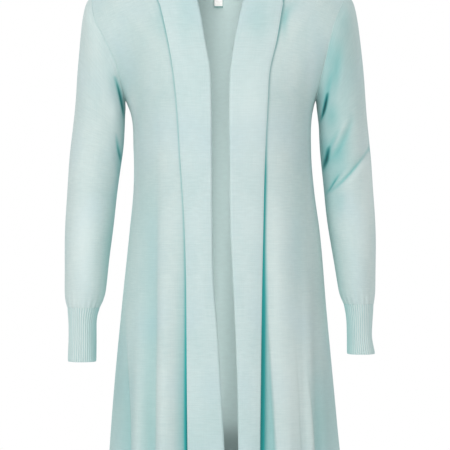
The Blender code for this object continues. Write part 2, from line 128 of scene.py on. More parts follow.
# folds that fall to the hem: ridges stand out, valleys are negative, each with its own two sides
frontFolds = columnsOf("""
side topX hemX topHeight height innerSpread outerSpread
right:
60 57 -300 -9 14 20
84 88 -170 8 24 14
97 105 -260 -7 10 20
122 128 -420 2.5 14 9
140 146 -480 -6 9 14
110 116 -560 -2.2 6 9
left:
66 66 -250 -3.5 12 8
84 96 -190 6.5 16 26
120 131 -350 -3.5 17 8
136 143 -480 2 5 5
146 153 -480 -3 6 9
158 164 -500 2 8 8
100 108 -600 1.6 9 6""")
backFolds = columnsOf("""
side topX hemX topHeight height innerSpread outerSpread
left:
-112 -142 -420 8 16 16
-78 -100 -380 -9 16 18
-38 -52 -340 8 18 16
-4 -8 -300 -10 18 18
34 42 -360 7 18 16
70 90 -330 -10 18 18
108 138 -400 8 16 16""")

# sharp fold edges: the cloth drops on one side of a line and comes back slowly, and that side gets painted
# shade
pleats = columnsOf("""
side topX topHeight hemX hemHeight turn depth spread step shade shadeSpread
left:
68.2 -490 86 -800 -1 5.5 40 2.6 0.45 90
112 -560 127 -800 1 1.4 18 4 0.06 12
131 -600 149 -800 1 2.4 26 4 0.2 60
right:
149.5 -500 141.8 -800 1 3 24 3.4 0.17 60
94 -200 101 -800 1 2.2 24 9 0.16 34""")

# slack drapes, as lines seen from the front, with painted shade along them and a painted highlight where it
# is negative
drapes = columnsOf("""
side face x0 z0 x1 z1 x2 z2 depth width shade above below
left front:
96 -116 101 -98 108 -80 0.6 5 0.16 6 6
99 -104 108 -90 124 -74 1.3 6 0.1 8 8
104 -118 116 -100 134 -84 -1.2 9 -0.03 9 9
148 -176 134 -196 120 -224 1.2 14 0.03 12 12
right front:
150 -176 138 -200 126 -230 1.2 14 0.03 12 12
118 -112 112 -150 110 -196 -1 15 0 9 9
146 -110 132 -180 126 -260 0 9 0.07 40 40
left front:
150 -110 138 -150 132 -190 0 9 0.04 30 30
right front:
104 -90 108 -112 116 -140 0.9 9 0.05 9 9
left back:
138 -214 112 -262 60 -292 2 12 0.06 13 13
140 -262 100 -314 52 -330 1.6 11 0.05 12 12
158 -140 138 -172 118 -214 1.5 12 0.04 12 12
right back:
136 -222 104 -272 66 -306 2 12 0.06 13 13
138 -280 108 -322 58 -346 1.4 11 0.05 12 12
156 -146 140 -186 112 -220 1.5 12 0.04 12 12""")

# how dark the painted shadow line beside each band's free edge is, by height
edgeShadowLine = columnsOf("""
height right left
-840 1 0.86
-745 1 0.86
-667 0.85 0.86
-572 0.66 1.02
-461 0.46 1.06
-400 0.38 1.02
-351 0.36 0.98
-290 0.34 0.44
-240 0.32 0.32
-160 0.34 0.34
-125 0.4 0.5
-100 0.32 0.28
-80 0.32 0.34
-62 0.44 0.5
0 0.44 0.46""")

# painted shade in soft patches, where sleeve and body shade each other and along each sleeve's outer side
sleeveShades = columnsOf("""
side angle height angleSpread heightSpread strength
right:
176 -310 30 100 0.4
180 -480 46 90 0.33
left:
142 -232 30 40 0.12
100 -160 56 62 0.28
120 -260 56 50 0.18
140 -325 40 34 0.32
148 -384 34 26 0.16
176 -330 24 120 0.14
180 -500 46 90 0.26
right:
0 -330 26 330 0.06
left:
0 -250 26 330 0.1
0 -308 34 34 0.08""")

sleeveCut = {
    # rings lie closer where the creases are: so many rings up to each station
    "ringStops": columnsOf("""
ring station
0 0
36 2.4
216 8.3
282 12"""),
    "columns": 156,
    "armholeGap": 0.36,
    # each sleeve's end is raised so far, over its last stations
    "endRise": {right: 2.0, left: 7.5},
    "endStart": 9.5,
    "endLength": 2.5,
    "slack": 0.7,
    "reach": 4.0,
    "radius": 45.0,
    "gather": 0.55,
    "gatherHeight": 30.0,
    "stations": columnsOf("""
outerHeight innerHeight rightOuter rightInner leftOuter leftInner halfDepth back
-57 -225 200 150 197 150 62 0
-72 -228 211 150 208.5 150.5 62 0
-96 -232 217 149.8 215 151 61 0
-130 -238 221.5 149.5 220.5 151.5 60 1
-172 -248 225 150 225 152.5 58 2
-218 -268 228.5 151 229 155 56 3
-270 -298 234 153.5 233.7 157 54 5
-330 -342 240 159.5 239 161 51 7
-395 -398 244 166.5 243.4 166.7 47.5 5
-462 -460 245.5 174 244.8 176 43.5 -2
-520 -516 245 179.5 243.5 184.5 39 -11
-540 -538 243.5 183.5 242 188.5 34.5 -15
-553 -553 240.5 189.5 240.5 193.5 30 -18"""),
    # each crease bends through three points on the front or the back; ridges have a negative depth
    "creases": columnsOf("""
side face x0 z0 x1 z1 x2 z2 depth width shade above below
left front:
165.5 -219 161 -240 156.5 -258 4.2 2.2 0.8 2 3.4
172 -188 166.5 -214 161 -246 1.4 5 0.3 6 4
186 -140 180 -182 176 -216 1.6 5.5 0.22 7 8
196 -150 190 -190 184 -226 -1.2 6 -0.05 6 6
168.5 -302 165.5 -318 160 -336 3.4 2 0.68 2.4 4
183 -276 174.5 -292 168 -306 1.8 3.4 0.2 4 5
205 -254 194.3 -286 174 -318 2.8 4.6 0.24 7 5
197 -259 184 -286 170 -316 -2.2 3.4 -0.16 3.5 3.5
166 -374 174.5 -359 184 -345 2.8 1.7 0.36 2.2 1.7
172 -366 180 -351 194 -334 1.2 5 0.16 8 1.2
175 -368 188 -351 204 -334 -1.8 3 -0.1 3 3
173 -369 209 -334 246 -288 3.8 2 0.62 3 2.4
176 -364 207 -331 242 -290 1.6 7 0.16 10 1.2
184 -371 212 -346 233 -318 -2 5 -0.1 6 6
left back:
172 -210 162 -242 158 -258 5 3.2 0.6 4 6
168 -372 190 -352 226 -330 3.4 3 0.3 7 2.4
166 -330 186 -312 216 -300 2.6 4 0.2 7 4
170 -398 192 -384 218 -374 2 4 0.14 6 4
right front:
163.5 -193 155.5 -222 150.5 -252 4.4 2.4 0.98 2.4 2.8
171 -188 163 -226 156 -262 1 4.5 0.16 6 6
163.5 -280 160 -303 156 -323 3 2 0.66 2.2 2.6
172 -284 165 -312 160 -340 1 5 0.14 6 6
190 -240 178 -276 168 -316 -1.1 7 0 8 8
166 -382 190 -372 216 -370 1.2 9 0.05 9 8
right back:
170 -208 161 -240 156 -258 5 3.2 0.6 4 6
164 -366 190 -346 224 -336 3.2 3 0.28 7 2.6
162 -326 184 -310 212 -304 2.6 4 0.2 7 4"""),
}

cuffCut = {
    "ribs": 38,
    "perRib": 10,
    "rings": 40,
    "cloth": 1.6,
    "relief": 1.15,
    "roundness": 0.7,
    "edgeRound": 2.5,
    "edgeTuck": 0.6,
    "sway": 0.35,
    "innerShade": 0.40,
    "outerShade": 0.14,
    "stations": columnsOf("""
rightHeight leftHeight rightOuter rightInner leftOuter leftInner halfDepth back
-551.1 -545.6 240.5 189.5 240.5 193.5 30 -18
-572 -571 238.5 194.2 238.5 197.5 27 -20.5
-602 -597 238.5 194.5 238 198.5 26.5 -24
-635.4 -623.6 238.8 194 242 198 27.5 -28"""),
}

bandCut = {
    "cloth": 2.4,
    "gap": 0.4,
    "rollRadius": 2.9,
    "rollLift": 3.0,
    "bulge": 2.0,
    "underPoints": 10,
    "rollPoints": 9,
    "fallPoints": 26,
    # painted shade on the panel beside the free edge, and how much wider the painted shadow line gets, from
    # these heights down
    "valleyShade": {right: 0.34, left: 0.0},
    "valleyTop": -300,
    "valleyFade": 400,
    "valleyReach": 13,
    "lineSpread": {right: 0.10, left: 0.75},
    "spreadTop": -420,
    "spreadFade": 130,
    "front": columnsOf("""
height rightRoll leftRoll rightEdge leftEdge rightSeam leftSeam
-840 -8 29 48.6 60 9 46
-765 -5.3 28.2 49.6 60.3 12 45
-658 0.8 26.5 50.8 61.5 18 43.5
-582 5.3 23.5 51.4 62.5 22.5 40.5
-506 11.4 19.8 52.2 63.8 28.5 37
-422 13 16 54.7 65.6 30 33
-323 13.6 15 60.8 68 31.6 33
-231 14.5 14.5 67 72.5 34.5 34.5
-185 16 16 72.2 75.5 38 38
-140 23.7 22.1 80 86 48 47
-79 35.9 34.3 94 97 66 66
-30 52 52 109 109 81 81
0 64 64 118 118 90 90"""),
    "neck": columnsOf("""
way rollX rollY rollZ edgeX edgeTurn
-79 35 -78 -79 95 -79.5
-30 52 -46 -12 109 -47
0 64 3 21 118 0
30 57 32 20 103 44
60 36 48 14 62 67
90 0 54 10 0 83"""),
    # how far the free edge stands off the cloth under it
    "lift": columnsOf("""
way right left
-840 3.2 3.4
-600 3 3.4
-400 2.8 3.4
-250 2.7 2.8
-170 2.7 2.8
-120 2.7 3.3
-95 2.8 3.2
-72 2.8 3.2
-40 2.9 3
90 3 3"""),
}

# painted shade in soft patches on the front of each kind of piece: a minus sign paints a highlight instead
paintedShadeAndHighlight = columnsOf("""
part side x z across down strength
band right:
49 -92 20 48 0.1
56 -62 7 60 0.03
26 -800 60 170 0.07
40 -219 26 50 -0.1
band left:
57 -108 20 32 0.14
64 -60 26 40 0.04
42 -800 60 150 0.04
48 -228 34 56 -0.36
50 -380 30 110 -0.14
panel right:
92 -104 9 30 0.14
118 -190 34 90 0.02
139 -242 7 24 -0.16
136 -320 7 60 -0.36
111 -414 24 60 0.04
panel left:
98 -106 6 26 0.26
140 -282 7 90 -0.34
86 -461 14 130 -0.26
118 -440 12 100 0.06
110 -633 22 90 -0.32
112 -756 20 60 -0.2
154 -744 12 70 0.08
sleeve left:
171 -158 8 34 0.09
sleeve right:
212 -450 20 88 -0.44
226 -300 12 60 -0.1
166 -242 9 18 -0.42
169 -292 10 60 -0.3
sleeve left:
193 -100 14 30 0.18
174 -252 9 18 0.22
184 -316 10 16 0.16
194 -303 13 24 0.18
164 -303 7 20 0.16
188 -383 9 22 0.14
229 -380 12 90 -0.4
206 -440 18 80 -0.14""")
# painted grey shade, where the folds shade the cloth
paintedGreyShadePatches = columnsOf("""
part side x z across down strength
panel right:
124 -300 30 150 0.26
126 -166 26 50 0.14
150 -690 16 120 0.3
112 -742 9 90 0.22
panel left:
130 -290 16 70 0.12
160 -720 22 110 0.34
142 -560 14 110 0.26
128 -420 16 90 0.1
sleeve left:
176 -206 16 60 0.24
200 -140 16 50 0.14
196 -300 20 40 0.14""")

labelCut = {"centre": -3.0, "width": 14.0, "long": 42.4, "cloth": 0.8, "top": -28.0, "bottom": -70.4,
            "topGap": 0.4, "bottomGap": 3.2, "rows": 40, "columns": 16, "shadowEdgeWidth": 0.9, "thread": 0.6}

stitchCut = {"pitch": 2.2, "long": 2.5, "wide": 1.15, "high": 0.5, "around": 6}


def smoothLine(xs, ys, at):
    # cubic Hermite through the points, with slopes from the neighbours on each side
    slopes = np.gradient(ys, xs)
    at = np.clip(at, xs[0], xs[-1])
    i = np.clip(np.searchsorted(xs, at, side="right") - 1, 0, len(xs) - 2)
    step = xs[i + 1] - xs[i]
    s = (at - xs[i]) / step
    start = (2 * s**3 - 3 * s**2 + 1) * ys[i] + (s**3 - 2 * s**2 + s) * step * slopes[i]
    end = (3 * s**2 - 2 * s**3) * ys[i + 1] + (s**3 - s**2) * step * slopes[i + 1]
    return start + end


def readAt(table, column, at):  # a column's smooth value, by the table's first column
    return smoothLine(next(iter(table.values())), table[column], at)


def ease(share):  # 3s^2 - 2s^3
    share = np.clip(share, 0, 1)
    return share * share * (3 - 2 * share)


def unit(vectors):
    return vectors / np.maximum(np.linalg.norm(vectors, axis=-1, keepdims=True), 1e-9)


def wayAlong(points):  # the distance to each point along its line
    return np.concatenate(([0.0], np.cumsum(np.linalg.norm(np.diff(points, axis=0), axis=1))))


def pointsAt(points, way, at):  # points of a line at distances along it
    return np.stack([np.interp(at, way, column) for column in points.T], axis=-1)


def neckColumns():  # the back's columns along the neckline
    return np.arange(bodyCut["backColumns"] // 4, bodyCut["backColumns"] * 3 // 4 + 1)


def bodySize(name, height):
    return readAt(bodyCut["sections"], name, height)


def halfWidth(x, z):  # of the body, on the side where x is
    return np.where(x < 0, bodySize("rightWidth", z), bodySize("leftWidth", z))


def shoulderLine(x):  # -slope*d - round*d^2, with d the distance outside the neck point
    beyond = np.abs(x) - bodyCut["neckHalf"]
    return -bodyCut["slope"] * beyond - bodyCut["slopeRound"] * np.maximum(beyond, 0) ** 2


def frontTop(x):
    return np.minimum(shoulderLine(x), 0)


def backTop(x):  # the neckline is -drop*(1 - (x/half)^3)
    neckline = -bodyCut["neckDrop"] * (1 - (np.abs(x) / bodyCut["neckHalf"]) ** 3)
    return np.where(np.abs(x) < bodyCut["neckHalf"], neckline, shoulderLine(x))


faces = {
    front: (frontTop, "frontDepth", bodyCut["frontRound"]),
    back: (backTop, "backDepth", bodyCut["backRound"]),
}


def bodySurface(x, z, face):
    # y = depth * (1 - (x/width)^n)^(1/n) * sqrt(1 - (1 - rise)^2): a full oval closing over the shoulder
    depthName, rounding = faces[face][1:]
    n = bodyCut["fullness"]
    oval = (1 - np.clip(np.abs(x) / halfWidth(x, z), 0, 1) ** n) ** (1 / n)
    rise = np.clip((shoulderLine(x) - z) / rounding, 0, 1)
    y = bodySize(depthName, z) * oval * np.sqrt(1 - (1 - rise) ** 2)
    return face * np.maximum(y, bodyCut["seamGap"] / 2)


def armholeEdge(side, rise, face):  # x and z where a row at this rise meets the armhole's curve
    top, table, name = faces[face][0], bodyCut["armhole"], sideName[side]
    low = bodyCut["underarm"]
    x = np.full_like(rise, table[name][0])
    for _ in range(20):
        x = readAt(table, name, low + (top(x) - low) * rise)
    return side * x, low + (top(x) - low) * rise


def panelRows():  # each row's base height and its rise from there to the panel's top line
    low = bodyCut["underarm"]
    below = np.linspace(bodyCut["hem"], low, bodyCut["rowsBelow"], endpoint=False)
    turn = np.linspace(0, math.pi, bodyCut["rowsAbove"])
    bases = np.concatenate((below, np.full(len(turn), low)))
    return bases, np.concatenate((np.zeros(len(below)), (1 - np.cos(turn)) / 2))


def panelEnds(side, bases, rises, face):  # x where each row ends, at the side seam or the armhole
    low = bases < bodyCut["underarm"]
    seam = side * bodySize(sideName[side] + "Width", bases)
    return np.where(low, seam, armholeEdge(side, rises, face)[0])


def resample(points, shares):  # each row of points, taken at shares of its own length
    ways = [wayAlong(row) for row in points]
    return np.array([pointsAt(row, way, share * way[-1]) for row, way, share in zip(points, ways, shares)])


def foldOffset(x, z, folds):
    # sum of height * growth * exp(-(away/spread)^2), with growth from 0 at the top to 1 at the hem
    total = np.zeros_like(x)
    for f in folds:
        share = np.clip((f["topHeight"] - z) / (f["topHeight"] - bodyCut["hem"]), 0, 1)
        away = x - (f["topX"] + (f["hemX"] - f["topX"]) * share)
        spread = np.where(away < 0, f["innerSpread"], f["outerSpread"])
        total += f["height"] * ease(share * 1.15) * np.exp(-(away / spread) ** 2)
    return total


def gridNormals(grid, outside):  # cross product of the two directions, turned to face outside
    down, across = np.gradient(grid, axis=(0, 1))
    normals = unit(np.cross(down, across))
    return normals if np.sum(normals * outside) > 0 else -normals


def pleatEdges(x, z, side):
    # depth * step * exp(-d/spread), with d measured from the edge's line on the side that drops
    total, shade = np.zeros_like(x), np.zeros_like(x)
    for p in rowsOf(pleats, side=side):
        share = (p["topHeight"] - z) / (p["topHeight"] - p["hemHeight"])
        line = p["topX"] + (p["hemX"] - p["topX"]) * share
        past = p["turn"] * (np.abs(x) - line)
        step = ease(past / p["step"] + 0.5) * ease(share * 1.6)
        total -= p["depth"] * step * np.exp(-np.maximum(past, 0) / p["spread"])
        shade += p["shade"] * step * np.exp(-(np.maximum(past, 0) / p["shadeSpread"]) ** 2)
    return total, shade


def foldPanel(grid, folds, mirror):
    # the folds move the cloth level along its normal, and fade out at the side seams
    cut, normals = bodyCut, gridNormals(grid, grid * (0, 1, 0))
    normals[..., 2] = 0
    x, z = grid[..., 0], grid[..., 2]
    width = halfWidth(x, z)
    fade = ease((width - np.abs(x)) / cut["seamFade"])
    offset = foldOffset(x * mirror, z, folds) * fade
    lull = np.sin(x / 23 + z / 61) * np.sin(z / 47 - x / 90) * cut["slack"]
    offset = offset + lull * fade * ease((cut["slackTop"] - z) / cut["slackFade"])
    shade = np.clip(-offset / cut["valleyDepth"], 0, 1) * cut["valleyShade"]
    face = front if grid[len(grid) // 2, grid.shape[1] // 2, 1] < 0 else back
    if face == front:
        drop, deeper = pleatEdges(x, z, mirror)
        offset, shade = offset + drop * fade, shade + deeper
    for side in (right, left):  # the fronts' painted outer shade goes round the side seam and fades out behind
        slack, soft = creaseLines(side * x, z, rowsOf(drapes, side=side, face=face))
        offset, shade = offset + slack, shade + soft
        if face == back:
            seam = pleatEdges(width, z, side)[1]
            shade = shade + seam * np.exp(-(grid[..., 1] / cut["behindSeam"]) ** 2) * (side * x > 0)
    # painted shade where the cloth turns sideways, away from the front
    shade = shade + cut["turnedShade"] * (1 - np.abs(normals[..., 1])) ** 2
    return grid + unit(normals) * offset[..., None], shade


def patchSum(patches, part, side, grid):
    # sum of strength * exp(-(x/across)^2 - (z/down)^2), fading out where the cloth turns from the front
    total = np.zeros(grid.shape[:2])
    for patch in rowsOf(patches, part=words[part], side=side):
        across = (side * grid[..., 0] - patch["x"]) / patch["across"]
        down = (grid[..., 2] - patch["z"]) / patch["down"]
        total += patch["strength"] * np.exp(-across**2 - down**2)
    return total * ease(-grid[..., 1] / 14)


def frontGrid(side):
    bases, rises = panelRows()
    inner = side * readAt(bandCut["front"], sideName[side] + "Seam", bases * (1 - rises))
    outer = panelEnds(side, bases, rises, front)
    reach = np.sin(np.linspace(0, math.pi / 2, 500))
    x = inner[:, None] + (outer - inner)[:, None] * reach
    z = bases[:, None] + (frontTop(x) - bases[:, None]) * rises[:, None]
    points = np.stack((x, bodySurface(x, z, front), z), axis=-1)
    shares = np.tile(np.linspace(0, 1, bodyCut["frontColumns"]), (len(bases), 1))
    return foldPanel(resample(points, shares), rowsOf(frontFolds, side=side), side)


def backGrid():
    bases, rises = panelRows()
    ends = [panelEnds(side, bases, rises, back) for side in (right, left)]
    reach = np.sin(np.linspace(-math.pi / 2, math.pi / 2, 1000))
    x = (ends[0] + ends[1])[:, None] / 2 + (ends[1] - ends[0])[:, None] / 2 * reach
    z = bases[:, None] + (backTop(x) - bases[:, None]) * rises[:, None]
    points = np.stack((x, bodySurface(x, z, back), z), axis=-1)
    shoulder, neck = bodyCut["backColumns"] // 4, bodyCut["backColumns"] // 2
    half = bodyCut["neckHalf"]
    topX = np.concatenate((np.linspace(ends[0][-1], -half, shoulder + 1)[:-1],
                           np.linspace(-half, half, neck + 1),
                           np.linspace(half, ends[1][-1], shoulder + 1)[1:]))
    way = wayAlong(points[-1])
    topShares = np.interp(topX, points[-1, :, 0], way / way[-1])
    even = np.linspace(0, 1, len(topX))
    shares = even + (topShares - even) * rises[:, None]
    return foldPanel(resample(points, shares), rowsOf(backFolds), 1)


def panelNormals(grid):
    # wall directions, turned at the seams so that neighbouring pieces stay apart
    normals = gridNormals(grid, grid * (0, 1, 0))
    below = bodyCut["rowsBelow"]
    normals[-1, np.abs(grid[-1, :, 0]) > bodyCut["neckHalf"] - 0.01, 1] = 0
    normals[0, :, 2] = 0
    for column in (0, -1):
        if abs(grid[0, column, 1]) > bodyCut["seamGap"]:
            continue
        normals[:below, column, 1] = 0
        centre = np.array((0.0, (grid[below, column, 2] + grid[-1, column, 2]) / 2))
        normals[below:, column, 0] = 0
        normals[below:, column, 1:] = grid[below:, column, 1:] - centre
    return unit(normals)


def ringPoints(stations, side, station, angle):
    # centre + cos(angle) * (outer - inner)/2 - sin(angle) * halfDepth along Y
    order = np.arange(len(stations["back"]), dtype=float)
    name = sideName[side]

    def size(column):
        return smoothLine(order, stations[column], station)

    zero = np.zeros_like(station)
    outer = np.stack((side * size(name + "Outer"), zero, size("outerHeight")), axis=-1)
    inner = np.stack((side * size(name + "Inner"), zero, size("innerHeight")), axis=-1)
    points = (outer + inner) / 2 + np.cos(angle)[..., None] * (outer - inner) / 2
    points[..., 1] = size("back") - size("halfDepth") * np.sin(angle)
    return points


def armholeLoop(side, angle):
    rise = (1 + np.cos(angle)) / 2
    loops = []
    for face in (front, back):
        x, z = armholeEdge(side, rise, face)
        loops.append(np.stack((x, bodySurface(x, z, face), z), axis=-1))
    loop = np.where((np.sin(angle) > 0)[:, None], loops[0], loops[1])
    loop[np.abs(np.sin(angle)) < 1e-6, 1] = 0
    return loop


def creaseLines(x, z, creases):
    # each crease: -depth*exp(-sqrt(d^2 + 1)/width), where d is the distance to a line bent through
    # three points; its shade is strength*exp(-(d/reach)^2), and reaches further on one side
    total, shade = np.zeros_like(z), np.zeros_like(z)
    t = np.linspace(0, 1, 48)[:, None]
    for c in creases:
        a, b, e = (np.array((c["x" + n], c["z" + n])) for n in "012")
        line = (1 - t) ** 2 * a + 2 * t * (1 - t) * (2 * b - (a + e) / 2) + t**2 * e
        gapX, gapZ = x[..., None] - line[:, 0], z[..., None] - line[:, 1]
        nearest = np.argmin(gapX**2 + gapZ**2, axis=-1)
        run = unit(np.gradient(line, axis=0))[nearest]
        dx = np.take_along_axis(gapX, nearest[..., None], axis=-1)[..., 0]
        dz = np.take_along_axis(gapZ, nearest[..., None], axis=-1)[..., 0]
        upper = (dz * run[..., 0] - dx * run[..., 1]) * np.sign(run[..., 0]) > 0
        away = np.hypot(dx, dz)
        swell = np.sin(math.pi * (0.12 + 0.76 * t[nearest, 0]))
        total -= c["depth"] * swell * np.exp(-np.sqrt(away**2 + 1) / c["width"])
        reach = np.where(upper, c["above"], c["below"])
        shade += c["shade"] * swell * np.exp(-(away / reach) ** 2)
    return total, shade


def sleeveShade(side, angle, height):
    # each patch: strength * exp(-(turn/angleSpread)^2 - (rise/heightSpread)^2)
    total = np.zeros_like(height)
    for s in rowsOf(sleeveShades, side=side):
        turn = ((np.degrees(angle) - s["angle"] + 180) % 360 - 180) / s["angleSpread"]
        rise = (height - s["height"]) / s["heightSpread"]
        total += s["strength"] * np.exp(-turn**2 - rise**2)
    return total


def sleeveGrid(side):
    cut = sleeveCut
    angles = np.linspace(0, 2 * math.pi, cut["columns"], endpoint=False)
    stops = cut["ringStops"]
    rings = np.interp(np.arange(stops["ring"][-1] + 1), stops["ring"], stops["station"])
    station, angle = np.meshgrid(rings, angles, indexing="ij")
    points = ringPoints(cut["stations"], side, station, angle)
    loop = armholeLoop(side, angles)
    loop[:, 0] += side * cut["armholeGap"]
    start = ringPoints(cut["stations"], side, np.zeros(len(angles)), angles)
    fade = 1 - ease(station / cut["reach"])
    points += fade[..., None] * (loop - start)
    points[..., 2] += cut["endRise"][side] * ease((station - cut["endStart"]) / cut["endLength"])
    outward = points - points.mean(axis=1, keepdims=True)
    outward[..., 2] = 0
    offset = 0
    # painted shade and highlight: soft patches round the sleeve, and along the creases below
    shade = sleeveShade(side, angle, points[..., 2]) + patchSum(paintedShadeAndHighlight, "sleeve", side, points)
    for face in (front, back):  # a crease fades out where the sleeve turns away from its face
        facing = ease((0.04 - face * np.sin(angle)) / 0.36)
        moved, deeper = creaseLines(side * points[..., 0], points[..., 2],
                                    rowsOf(cut["creases"], side=side, face=face))
        offset, shade = offset + moved * facing, shade + deeper * facing
    offset = offset * (1 - fade) ** 0.5
    end = points[-1, 0, 2]
    low = ease((points[..., 2] - end - cut["gatherHeight"]) / -cut["gatherHeight"])
    lull = cut["slack"] * np.sin(points[..., 2] / 31 + 3 * angle) * np.sin(points[..., 2] / 53 - angle)
    gather = cut["gather"] * low * np.cos(angle * cuffCut["ribs"] / 2)
    offset = offset + lull * (1 - fade) * (1 - low)
    return points + unit(outward) * (offset + gather)[..., None], shade


def sleeveNormals(grid):
    # wall directions, in the armhole's plane at the head and level at the cuff
    normals = tubeNormals(grid)
    half = grid.shape[1] // 2
    middle = np.array((0.0, (grid[0, 0, 2] + grid[0, half, 2]) / 2))
    normals[0, :, 0] = 0
    normals[0, :, 1:] = grid[0, :, 1:] - middle
    normals[-1, :, 2] = 0
    return unit(normals)


def tubeNormals(grid):  # cross product of the two directions, with the last column beside the first
    wrapped = np.concatenate((grid[:, -1:], grid, grid[:, :1]), axis=1)
    down, across = np.gradient(wrapped, axis=(0, 1))
    normals = unit(np.cross(down, across))[:, 1:-1]
    if np.sum(normals * (grid - grid.mean(axis=1, keepdims=True))) < 0:
        normals = -normals
    return normals


def cuffGrids(side):
    # ring + relief * (|cos(ribs*angle/2)|^roundness - 1): rounded ribs outside, a plain wall inside
    cut = cuffCut
    heights = cut["stations"][sideName[side] + "Height"]
    stations = dict(cut["stations"], outerHeight=heights, innerHeight=heights)
    angles = np.linspace(0, 2 * math.pi, cut["ribs"] * cut["perRib"], endpoint=False)
    station, angle = np.meshgrid(np.linspace(0, len(heights) - 1, cut["rings"]), angles, indexing="ij")
    points = ringPoints(stations, side, station, angle)
    normals = tubeNormals(points)
    normals[..., 2] = 0
    normals = unit(normals)
    wave = np.abs(np.cos(angle * cut["ribs"] / 2)) ** cut["roundness"]
    lowEdge = ease((points[..., 2] - heights[-1]) / cut["edgeRound"])  # the bottom edge rounds under
    relief = cut["relief"] * (wave - 1) - cut["edgeTuck"] * (1 - lowEdge)
    sway = cut["sway"] * np.sin(points[..., 2] / 13 + 5 * angle) * ease((heights[0] - points[..., 2]) / 12)
    outer = points + normals * (relief + sway)[..., None]
    # painted shade on the cuff's inner side, toward the body, and on its outer side
    shade = (cut["innerShade"] * np.clip(-np.cos(angle) - 0.1, 0, 1) ** 1.7
             + cut["outerShade"] * np.clip((np.cos(angle) - 0.6) / 0.4, 0, 1))
    return outer, points - normals * (cut["cloth"] + cut["relief"]), wave, shade


def rollLine(side, way):
    name, neck, body = sideName[side], bandCut["neck"], bandCut["front"]
    low = body["height"] < neck["way"][0]
    z = body["height"][low]
    x = side * body[name + "Roll"][low]
    down = np.column_stack((x, bodySurface(x, z, front) - bandCut["rollLift"], z))
    behind = np.column_stack((side * neck["rollX"], neck["rollY"], neck["rollZ"]))
    ways = np.concatenate((z, neck["way"]))
    return np.column_stack([smoothLine(ways, column, way) for column in np.vstack((down, behind)).T])


def freeEdge(side, way):
    # on the front at its table's place, and round the neck at a turn over the shoulder's rounding
    name, neck, lift = sideName[side], bandCut["neck"], bandCut["lift"]
    onFront = way < neck["way"][0]
    x = side * np.where(onFront, readAt(bandCut["front"], name + "Edge", way), readAt(neck, "edgeX", way))
    turn = np.radians(readAt(neck, "edgeTurn", way))
    rounding = np.where(turn < 0, bodyCut["frontRound"], bodyCut["backRound"])
    z = np.where(onFront, way, shoulderLine(x) - rounding * (1 - np.cos(turn)))
    y = np.where(turn < 0, bodySurface(x, z, front), bodySurface(x, z, back))
    off = readAt(lift, name, way)
    away = np.where(onFront, -math.pi / 2, turn)
    return np.column_stack((x, y + off * np.sin(away), z + off * np.cos(away)))


def bandGrid(side, frontPanel, backPanel, frontOut, backOut):
    # a profile carried up the roll line: under layer, half turn of the roll, and the fall to the edge
    cut = bandCut
    neck = neckColumns()
    half = len(neck) // 2
    neck = neck[:half + 1] if side == right else neck[:half - 1:-1]
    seam = np.vstack((frontPanel[:, 0], backPanel[-1, neck[1:]]))
    out = np.vstack((frontOut[:, 0], backOut[-1, neck[1:]]))
    seam[len(frontPanel) - 1, 1] = 0
    way = np.concatenate((frontPanel[:, 0, 2], bodyCut["neckHalf"] - np.abs(backPanel[-1, neck[1:], 0])))
    roll, edge = rollLine(side, way), freeEdge(side, way)
    start = seam - out * bodyCut["cloth"] / 2
    path = unit(np.gradient(roll, axis=0))
    path[-1] = (-side, 0, 0)
    into = (start + edge) / 2 - roll
    into = unit(into - np.sum(into * path, axis=1, keepdims=True) * path)
    lift = np.cross(into, path)
    lift *= np.sign(np.sum(lift * out, axis=1, keepdims=True))
    apart = roll - start
    apart = unit(apart - np.sum(apart * out, axis=1, keepdims=True) * out)
    start = start + apart * cut["gap"]
    r = cut["rollRadius"]
    under, over = roll + r * (into - lift), roll + r * (into + lift)
    shares = np.linspace(0, 1, cut["underPoints"], endpoint=False)
    profile = [start + (under - start) * s for s in shares]
    for turn in np.linspace(-math.pi / 2, math.pi / 2, cut["rollPoints"]):
        profile.append(roll + into * r * (1 - math.cos(turn)) + lift * r * math.sin(turn))
    for s in np.linspace(0, 1, cut["fallPoints"])[1:]:
        profile.append(over + (edge - over) * s + lift * cut["bulge"] * 4 * s * (1 - s))
    grid = np.stack(profile, axis=1)
    grid[-1, :, 0] = side * bodyCut["seamGap"] / 2
    normals = gridNormals(grid, out[:, None] * (np.arange(grid.shape[1]) == 1)[:, None])
    normals[:, 0] = out
    normals[0, :, 2] = 0
    normals[-1, :, 0] = 0
    half = unit(normals) * cut["cloth"] / 2
    half[:, 0] *= bodyCut["cloth"] / cut["cloth"]
    rounding = np.sqrt(1 - np.clip(1 - np.arange(grid.shape[1])[::-1] / 1.5, 0, 0.95) ** 2)
    return grid + half * rounding[None, :, None], grid - half * rounding[None, :, None]


def labelGrid(backPanel, backOut):
    # points of the back's inside between two heights, moved further in toward the bottom
    cut = labelCut
    inside = backPanel - backOut * bodyCut["cloth"]
    middle = inside[:, inside.shape[1] // 2]
    heights = np.linspace(cut["top"], cut["bottom"], cut["rows"])
    x = cut["centre"] + np.linspace(-0.5, 0.5, cut["columns"]) * cut["width"]
    rows = []
    for height in heights:
        row = np.interp(height, middle[:, 2], np.arange(len(middle)))
        low = int(row)
        share = row - low
        line = inside[low] * (1 - share) + inside[min(low + 1, len(inside) - 1)] * share
        rows.append(np.column_stack((x, np.interp(x, line[:, 0], line[:, 1]),
                                     np.interp(x, line[:, 0], line[:, 2]))))
    grid = np.array(rows)
    hang = np.linspace(0, 1, cut["rows"])[:, None]
    grid[..., 1] -= cut["topGap"] + (cut["bottomGap"] - cut["topGap"]) * ease(hang)
    return grid


# shader building


